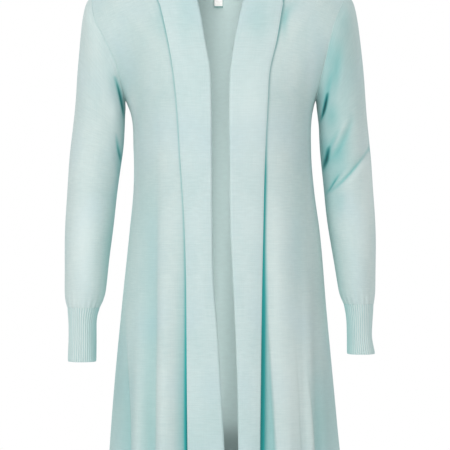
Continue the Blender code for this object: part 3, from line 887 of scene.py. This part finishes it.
class Value:  # a socket that adds Math nodes when it is used in an expression
    def __init__(self, kit, socket):
        self.kit, self.socket = kit, socket

    def combine(self, operation, other):
        return self.kit.maths(operation, self, other)

    def __rsub__(self, other):
        return self.kit.maths("SUBTRACT", other, self)

    __add__ = __radd__ = partialmethod(combine, "ADD")
    __mul__ = __rmul__ = partialmethod(combine, "MULTIPLY")
    __sub__ = partialmethod(combine, "SUBTRACT")
    __truediv__ = partialmethod(combine, "DIVIDE")
    __pow__ = partialmethod(combine, "POWER")


class Finish:  # a material and the nodes in it
    def __init__(self, name):
        self.material = bpy.data.materials.new(name)
        self.material.use_nodes = True
        self.tree = self.material.node_tree
        self.shader = self.tree.nodes["Principled BSDF"]

    def node(self, kind, settings=None, sockets=None):
        made = self.tree.nodes.new(kind)
        for key, value in (settings or {}).items():
            setattr(made, key, value)
        for key, value in (sockets or {}).items():
            self.feed(made.inputs[key], value)
        return made

    def feed(self, socket, value):
        if isinstance(value, Value):
            self.tree.links.new(value.socket, socket)
        elif hasattr(value, "is_output"):
            self.tree.links.new(value, socket)
        else:
            socket.default_value = value

    def surface(self, sockets):  # what goes into the shader's own sockets
        for key, value in sockets.items():
            self.feed(self.shader.inputs[key], value)

    def maths(self, operation, first, second=0.0):
        made = self.node("ShaderNodeMath", {"operation": operation}, {0: first, 1: second})
        return Value(self, made.outputs[0])

    def clamp(self, value):
        made = self.node("ShaderNodeMath", {"operation": "ADD", "use_clamp": True}, {0: value, 1: 0.0})
        return Value(self, made.outputs[0])

    def wave(self, turns):  # a sine of so many full turns
        return self.maths("SINE", turns * (2 * math.pi))

    def uv(self):
        where = self.node("ShaderNodeUVMap", {"uv_map": "knit"}).outputs[0]
        split = self.node("ShaderNodeSeparateXYZ", None, {0: where})
        return Value(self, split.outputs[0]), Value(self, split.outputs[1])

    def shade(self, name):
        return Value(self, self.node("ShaderNodeAttribute", {"attribute_name": name}).outputs["Fac"])

    def noise(self, vector, scale, detail=2.0):
        made = self.node("ShaderNodeTexNoise", None, {"Vector": vector, "Scale": scale, "Detail": detail})
        return Value(self, made.outputs["Fac"])

    def grain(self, x, y, detail=2.0):  # noise drawn out along the rows or the columns
        return self.noise(self.node("ShaderNodeCombineXYZ", None, {0: x, 1: y}).outputs[0], 1.0, detail)

    def mix(self, share, first, second):
        made = self.node("ShaderNodeMix", {"data_type": "RGBA"}, {"Factor": share})
        self.feed(made.inputs[6], first)
        self.feed(made.inputs[7], second)
        return made.outputs[2]

    def bump(self, height, strength, distance):
        made = self.node("ShaderNodeBump", None,
                         {"Height": height, "Strength": strength, "Distance": distance})
        self.feed(self.shader.inputs["Normal"], made.outputs[0])


knit = {  # colours, and spacings in metres
    "light": (0.712, 0.824, 0.804, 1),
    "paintedHighlight": (0.900, 0.990, 0.970, 1),
    "blue": (0.610, 0.765, 0.810, 1),
    "fleck": (0.470, 0.545, 0.530, 1),
    "paintedHemShade": (0.190, 0.245, 0.240, 1),
    "paintedCreaseDark": (0.020, 0.135, 0.145, 1),
    "dark": (0.600, 0.745, 0.735, 1),
    "paintedShadeTeal": (0.040, 0.480, 0.470, 1),
    "wrongSide": (0.662, 0.795, 0.778, 1),
    "bandLight": (0.705, 0.832, 0.826, 1),
    "bandDark": (0.600, 0.760, 0.755, 1),
    "ribLight": (0.705, 0.812, 0.798, 1),
    "paintedRibValleyShade": (0.520, 0.715, 0.705, 1),
    "wale": 0.00125,
    "course": 0.00105,
    "fuzz": 2600,
    "bumpStrength": 0.35,
    "bumpHeight": 0.0004,
}


def knitFinish(name, light, dark):
    # fine jersey: slanted stitches in wales and courses, with faint lighter and darker courses
    f = Finish(name)
    u, v = f.uv()
    across = f.maths("ABSOLUTE", f.maths("FRACT", u / knit["wale"]) - 0.5)  # 0.5 at a wale's sides
    leg = f.wave(v / knit["course"] - across * 1.5) * 0.5 + 0.5
    stitch = leg * 0.45 + (1 - (across * 2) ** 2.0) * 0.55
    streaks = f.grain(u * 45, v * 620, 3.0)
    wales = f.grain(u * 640, v * 30)
    heather = f.grain(u * 95, v * 190, 3.0)  # flecks of lighter and darker yarn
    cloudy = f.grain(u * 16, v * 9, 3.0)
    tone = f.clamp((streaks - 0.5) * 1.4 + (wales - 0.5) * 0.8 + (cloudy - 0.5) * 2.2 + 0.5
                   - (stitch - 0.5) * 0.15)
    fleck = f.clamp((heather - 0.5) * 1.5 + (streaks - 0.5) * 0.4 + 0.4)
    patches = f.grain(u * 13 + 3.7, v * 10, 1.0)  # a breath of blue in soft patches
    dyed = f.mix(f.clamp((patches - 0.45) * 3.0) * 0.46, f.mix(tone, light, dark), knit["blue"])
    # darker flecks of yarn, and painted grey shade from its attribute, both in the fleck colour
    dyed = f.mix(f.clamp(fleck * 0.20 + f.shade("paintedGreyShade")), dyed, knit["fleck"])
    inside = f.shade("inside")  # 1 on the wrong side, and more where shade is painted on the hem's inside
    wrongSide = f.mix(fleck * 0.24, knit["wrongSide"], knit["fleck"])
    cloth = f.mix(f.clamp(inside), dyed, wrongSide)
    cloth = f.mix(f.clamp(inside - 1.0), cloth, knit["paintedHemShade"])
    # a painted shadow line beside the band's edge: exp(-away^2) times the shadow's strength, wider where it
    # is darker
    edgeShadowStrength, shade = f.shade("edgeShadowStrength"), f.shade("shade")
    away = f.maths("ABSOLUTE", f.shade("edgeAway") - 0.3 - edgeShadowStrength * 0.8) / (edgeShadowStrength * 2.4 + 1.1)
    line = f.maths("EXPONENT", 0.0 - away * away) * edgeShadowStrength
    # painted highlight: where the shade attribute is below zero the cloth is mixed toward a paler colour
    highlighted = f.mix(f.clamp(0.0 - shade), cloth, knit["paintedHighlight"])
    # painted shade: the shade attribute and the edge line mix the cloth toward teal, and the deepest creases
    # and lines toward a darker teal
    shaded = f.mix(f.clamp(shade + line), highlighted, knit["paintedShadeTeal"])
    crease = f.clamp((shade - 0.55) * 1.6 + f.clamp(line - 0.5) * 1.4)
    fuzz = f.grain(u * knit["fuzz"], v * knit["fuzz"])
    f.bump(stitch * 0.8 + fuzz * 0.25 + streaks * 0.35, knit["bumpStrength"], knit["bumpHeight"])
    f.surface({"Base Color": f.mix(crease, shaded, knit["paintedCreaseDark"]), "Roughness": 0.88,
               "Sheen Weight": 0.10, "Sheen Roughness": 0.6, "Specular IOR Level": 0.2})
    return f.material


def ribFinish():
    # one-by-one rib: shade is painted into the valleys between the ribs
    f = Finish("rib_knit")
    u, v = f.uv()
    loops = f.wave(v / knit["course"]) * 0.5 + 0.5
    streaks = f.grain(u * 260, v * 30)
    tone = f.clamp(f.shade("rib") * 1.1 - 0.05 + (streaks - 0.5) * 0.5)
    cloth = f.mix(tone, knit["paintedRibValleyShade"], knit["ribLight"])
    fuzz = f.grain(u * knit["fuzz"], v * knit["fuzz"])
    f.bump(loops * 0.5 + fuzz * 0.3, knit["bumpStrength"], knit["bumpHeight"])
    f.surface({"Base Color": f.mix(f.clamp(f.shade("shade")), cloth, knit["paintedShadeTeal"]), "Roughness": 0.9,
               "Sheen Weight": 0.18, "Specular IOR Level": 0.2})
    return f.material


def threadFinish():
    f = Finish("seam_thread")
    ply = f.noise(f.node("ShaderNodeTexCoord").outputs["Object"], 1800.0)
    f.bump(ply, 0.3, 0.0002)
    f.surface({"Base Color": f.mix(ply, (0.60, 0.77, 0.76, 1), (0.70, 0.83, 0.82, 1)), "Roughness": 0.85})
    return f.material


def labelFinish():
    # woven tape, blank: over and under threads, with a painted shadow in dark teal along two edges
    f = Finish("label_tape")
    u, v = f.uv()
    weave = f.wave(u / (labelCut["thread"] * mm)) * f.wave(v / (labelCut["thread"] * mm))
    white = f.mix(f.clamp(weave * 0.2 + 0.5), (0.93, 0.90, 0.88, 1), (0.98, 0.95, 0.93, 1))
    past = f.maths("MAXIMUM", *(size - (labelCut[name] - labelCut["shadowEdgeWidth"]) * mm
                                for size, name in ((u, "width"), (v, "long"))))
    paintedShadowEdge = f.maths("GREATER_THAN", past, 0.0)
    f.bump(weave, 0.3, 0.0002)
    # painted light: the tape glows a little to look whiter, and its painted shadow edge doesn't glow
    f.surface({"Base Color": f.mix(paintedShadowEdge, white, (0.27, 0.45, 0.43, 1)), "Roughness": 0.6,
               "Emission Color": f.mix(paintedShadowEdge, (1.0, 0.90, 0.87, 1), (0, 0, 0, 1)), "Emission Strength": 0.20})
    return f.material


def addObject(name, data):
    made = bpy.data.objects.new(name, data)
    bpy.context.scene.collection.objects.link(made)
    return made


def addMesh(name, points, quads, material):  # from points in millimetres
    mesh = bpy.data.meshes.new(name)
    mesh.from_pydata((points.reshape(-1, 3) * mm).tolist(), [], quads)
    mesh.materials.append(material)
    mesh.shade_smooth()
    return addObject(name, mesh)


def pairs(first, second):
    return np.stack((first, second), 1)


def gridUv(grid, tube):  # lengths along the rows and columns, in metres
    if tube:
        grid = np.concatenate((grid, grid[:, :1]), axis=1)
    across = np.linalg.norm(np.diff(grid, axis=1), axis=2).mean(axis=0)
    down = np.linalg.norm(np.diff(grid, axis=0), axis=2).mean(axis=1)
    u, v = (np.concatenate(([0.0], np.cumsum(steps))) * mm for steps in (across, down))
    return np.stack(np.broadcast_arrays(u[None, :], v[:, None]), axis=-1)


def wallMesh(name, outer, inner, material, tube=False, values=None):
    # outer and inner skins of quads, with rims along the open borders
    rows, columns = outer.shape[:2]
    uv = gridUv(outer, tube)
    span = columns if tube else columns - 1
    i, j = (part.ravel() for part in np.meshgrid(np.arange(rows - 1), np.arange(span), indexing="ij"))
    corner = np.stack((pairs(i, j), pairs(i, j + 1), pairs(i + 1, j + 1), pairs(i + 1, j)), axis=1)

    def number(cells, skin):
        return cells[..., 0] * columns + cells[..., 1] % columns + skin * rows * columns

    middle = rows // 2  # whether the quads face outward is seen from one of them
    across, down = (outer[middle, 1] - outer[middle, 0], outer[middle + 1, 0] - outer[middle, 0])
    turned = np.dot(np.cross(across, down), (outer - inner)[middle, 0]) < 0
    quads = [number(corner, 0), number(corner[:, ::-1], 1)]
    maps = [corner, corner[:, ::-1]]

    def rim(first, second):
        cells = np.stack((first, second, second, first), axis=1)
        quads.append(number(cells, np.array((0, 0, 1, 1))))
        maps.append(cells)

    across = np.arange(span)
    rim(pairs(across * 0, across + 1), pairs(across * 0, across))
    last = across * 0 + rows - 1
    rim(pairs(last, across), pairs(last, across + 1))
    if not tube:
        down = np.arange(rows - 1)
        rim(pairs(down, down * 0), pairs(down + 1, down * 0))
        last = down * 0 + columns - 1
        rim(pairs(down + 1, last), pairs(down, last))
    quads, maps = np.concatenate(quads), np.concatenate(maps)
    if turned:
        quads, maps = quads[:, ::-1], maps[:, ::-1]
    piece = addMesh(name, np.stack((outer, inner)), quads.tolist(), material)
    mesh = piece.data
    layer = mesh.uv_layers.new(name="knit")
    layer.data.foreach_set("uv", uv[maps[..., 0], maps[..., 1]].astype(np.float32).ravel())
    for key, value in (values or {}).items():
        store = mesh.attributes.new(key, "FLOAT", "POINT")
        store.data.foreach_set("value", np.concatenate([part.ravel() for part in value]).astype(np.float32))
    mesh.set_sharp_from_angle(angle=math.radians(55))
    return piece


def stitchLine(points, out):
    # one rounded stitch each pitch: an oval along the seam, raised on the cloth
    cut, way = stitchCut, wayAlong(points)
    count = max(int(way[-1] / cut["pitch"]), 2)
    at = (np.arange(count) + 0.5) * way[-1] / count
    place, up = pointsAt(points, way, at), unit(pointsAt(out, way, at))
    run = np.gradient(place, axis=0)
    run = unit(run - np.sum(run * up, axis=1, keepdims=True) * up)
    beside = np.cross(run, up)
    turn = np.linspace(0, 2 * math.pi, cut["around"], endpoint=False)
    lengths, sizes = np.array((-0.5, -0.3, 0.3, 0.5)), np.array((0.25, 1.0, 1.0, 0.25))
    local = np.stack((np.repeat(lengths, len(turn)) * cut["long"],
                      np.outer(sizes, np.cos(turn)).ravel() * cut["wide"] / 2,
                      np.outer(sizes, np.sin(turn)).ravel() * cut["high"]), axis=1)
    return (place[:, None] + local[None, :, :1] * run[:, None] + local[None, :, 1:2] * beside[:, None]
            + local[None, :, 2:] * up[:, None])


def stitchMesh(name, lines, material):
    # all stitches as one mesh: bands of quads round each, with a cap at both ends
    blocks = np.concatenate([stitchLine(points, out) for points, out in lines])
    around = stitchCut["around"]
    ring, spot = (part.ravel() for part in np.meshgrid(np.arange(3), np.arange(around), indexing="ij"))
    following = (spot + 1) % around
    quads = np.stack((ring * around + spot, (ring + 1) * around + spot,
                      (ring + 1) * around + following, ring * around + following), axis=1)
    starts = np.arange(len(blocks)) * blocks.shape[1]
    caps = np.stack((np.arange(around), np.arange(around)[::-1] + 3 * around))
    allQuads = (starts[:, None, None] + quads).reshape(-1, 4).tolist()
    allCaps = (starts[:, None, None] + caps).reshape(-1, around).tolist()
    return addMesh(name, blocks, allQuads + allCaps, material)


def place(piece, node, slot):
    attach(piece, "root")
    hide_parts(node)


print("materials")
jersey = knitFinish("jersey_knit", knit["light"], knit["dark"])
bandKnit = knitFinish("band_knit", knit["bandLight"], knit["bandDark"])
rib = ribFinish()
thread = threadFinish()
tape = labelFinish()

print("fronts and back")
panels = {}
farAway = 100  # a distance at which no painted shadow line is drawn beside the band's edge
for name, side, (grid, shade) in (("front_right_panel", right, frontGrid(right)),
                                  ("front_left_panel", left, frontGrid(left)),
                                  ("back_panel", None, backGrid())):
    out, z = panelNormals(grid), grid[..., 2]
    plain = np.zeros_like(shade)
    away, dark, paintedGreyShade = plain + farAway, plain, plain
    if side:
        # a painted shadow line and painted shade beside the band's free edge
        cut, edge = bandCut, freeEdge(side, grid[:, 0, 2])
        away = np.abs(grid[..., 0]) - np.interp(z, edge[:, 2], np.abs(edge[:, 0]))
        dark = readAt(edgeShadowLine, sideName[side], z)
        soft = cut["valleyShade"][side] * ease((cut["valleyTop"] - z) / cut["valleyFade"])
        shade = shade + soft * dark * np.exp(-(np.maximum(away, 0) / cut["valleyReach"]) ** 2)
        # painted shade and highlight patches
        shade = shade + patchSum(paintedShadeAndHighlight, "panel", side, grid)
        # painted grey shade
        paintedGreyShade = patchSum(paintedGreyShadePatches, "panel", side, grid)
        away = away / (1 + cut["lineSpread"][side] * ease((cut["spreadTop"] - z) / cut["spreadFade"]))
    # painted shade on the hem's inside, darker toward the bottom
    paintedHemShade = 1 + bodyCut["paintedHemShadeStrength"] * ease((bodyCut["hem"] + bodyCut["paintedHemShadeHeight"] - z) / bodyCut["paintedHemShadeFade"])
    values = {"shade": (shade, plain), "edgeAway": (away, plain + farAway), "edgeShadowStrength": (dark, plain),
              "inside": (plain, paintedHemShade), "paintedGreyShade": (paintedGreyShade, plain)}
    piece = wallMesh(name + "_cloth", grid, grid - out * bodyCut["cloth"], jersey, values=values)
    place(piece, name, "jersey")
    panels[name] = (grid, out, piece)

print("sleeves and cuffs")
seams = []
for side, name in sideName.items():
    grid, shade = sleeveGrid(side)
    out, plain = sleeveNormals(grid), shade * 0
    values = {"shade": (shade, plain), "inside": (plain, plain + 1),
              "paintedGreyShade": (patchSum(paintedGreyShadePatches, "sleeve", side, grid), plain)}
    piece = wallMesh("sleeve_" + name + "_cloth", grid, grid - out * bodyCut["cloth"], jersey,
                     tube=True, values=values)
    place(piece, "sleeve_" + name, "jersey")
    outer, inner, wave, shade = cuffGrids(side)
    cuff = wallMesh("cuff_" + name + "_rib", outer, inner, rib, tube=True,
                    values={"rib": (wave, wave * 0 + 0.7), "shade": (shade, shade * 0)})
    place(cuff, "cuff_" + name, "rib")
    closed = np.append(np.arange(grid.shape[1]), 0)
    gap = sleeveCut["armholeGap"] / 2  # the stitches lie in the middle of the seam
    seams.append((grid[0, closed] - side * np.array((gap, 0, 0)), out[0, closed]))

print("collar and bands")
bands = {}
backPanel, backOut, _ = panels["back_panel"]
for side, name in sideName.items():
    own, frontOut, _ = panels["front_" + name + "_panel"]
    outer, inner = bandGrid(side, own, backPanel, frontOut, backOut)
    # painted shade and highlight patches on the collar and bands
    shade = patchSum(paintedShadeAndHighlight, "band", side, outer)
    bands[side] = wallMesh("band_" + name + "_cloth", outer, inner, bandKnit,
                           values={"shade": (shade, shade)})
    place(bands[side], "band_" + name, "band")
    flat = np.array((1, 0, 1))
    seams.append((own[:, 0] - frontOut[:, 0] * bodyCut["cloth"], -frontOut[:, 0]))
    seams.append((own[-1] * flat, frontOut[-1]))
    low = slice(0, bodyCut["rowsBelow"] + 1)
    seams.append((own[low, -1] * flat, frontOut[low, -1] * flat))

print("label")
grid = labelGrid(backPanel, backOut)
out = gridNormals(grid, np.array((0, -1, 0)))
label = wallMesh("neck_label_tape", grid + out * labelCut["cloth"], grid, tape)
place(label, "neck_label", "label")
neck = neckColumns()
seams.append((backPanel[-1, neck] - backOut[-1, neck] * bodyCut["cloth"], -backOut[-1, neck]))

print("seams")
stitches = stitchMesh("seam_stitches", seams, thread)
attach(stitches, "root")

print("studio")
# lengths in metres from here on
studio = {"floorHeight": -1.40, "floorRadius": 2.2, "distance": 3.2, "frameWidth": 0.711, "lookX": 0.0071,
          "lookHeight": -0.422, "sensor": 36, "ambient": 0.49, "aim": (0, 0, -0.4)}
bpy.ops.mesh.primitive_circle_add(vertices=96, radius=studio["floorRadius"], fill_type="NGON",
                                  location=(0, 0, studio["floorHeight"]))
floor = bpy.context.active_object
floor.name = "floor"
paper = Finish("floor_paper")
grain = paper.noise(paper.node("ShaderNodeTexCoord").outputs["Object"], 60.0)
paper.surface({"Base Color": paper.mix(grain, (0.93, 0.93, 0.93, 1), (0.96, 0.96, 0.96, 1))})
floor.data.materials.append(paper.material)

# the camera sees plain white, and the cloth gets a softer light from all round
world = bpy.data.worlds.new("studio")
bpy.context.scene.world = world
world.use_nodes = True
nodes = world.node_tree.nodes
nodes.clear()
seen, soft, ray, both, shown = (nodes.new("ShaderNode" + kind) for kind in (
    "Background", "Background", "LightPath", "MixShader", "OutputWorld"))
seen.inputs[0].default_value = (1, 1, 1, 1)
soft.inputs[0].default_value = (0.97, 1.0, 1.0, 1)
soft.inputs[1].default_value = studio["ambient"]
for output, socket in ((ray.outputs["Is Camera Ray"], both.inputs[0]), (soft.outputs[0], both.inputs[1]),
                       (seen.outputs[0], both.inputs[2]), (both.outputs[0], shown.inputs[0])):
    world.node_tree.links.new(output, socket)

lamps = (  # name, place, size, power
    ("front", (0.0, -2.6, 0.30), 0.6, 9.5),
    ("key", (-1.5, -1.95, 0.45), 1.0, 17.0),
    ("fill", (1.6, -2.0, 0.45), 1.2, 4.5),
    ("top", (0.1, -0.4, 1.9), 1.2, 4),
    ("behind", (-1.3, 2.3, 0.6), 1.4, 16),
    ("side", (1.9, 1.7, 0.1), 1.4, 11),
)
for name, where, size, power in lamps:
    lamp = bpy.data.lights.new(name, "AREA")
    lamp.shape, lamp.size, lamp.energy = "DISK", size, power
    holder = addObject(name, lamp)
    holder.location = where
    aim = np.array(studio["aim"]) - np.array(where)
    holder.rotation_euler = (math.atan2(math.hypot(aim[0], aim[1]), -aim[2]), 0, math.atan2(-aim[0], aim[1]))

# a strip lamp inside the hollow lights the back's inside, as light through open knit does
inner = bpy.data.lights.new("inner", "AREA")
inner.shape = "RECTANGLE"
inner.size, inner.size_y, inner.energy = 0.02, 0.70, 0.088
innerHolder = addObject("inner", inner)
innerHolder.location = (0.006, 0.047, -0.385)
innerHolder.rotation_euler = (math.radians(90.2), math.radians(1.2), 0)
innerHolder.visible_camera = False

camera = addObject("camera", bpy.data.cameras.new("camera"))
bpy.context.scene.camera = camera
camera.data.sensor_width = studio["sensor"]
camera.data.lens = studio["sensor"] * studio["distance"] / studio["frameWidth"]
camera.location = (studio["lookX"], -studio["distance"], studio["lookHeight"])
camera.rotation_euler = (math.radians(90), 0, 0)
bpy.context.scene.view_settings.view_transform = "Standard"
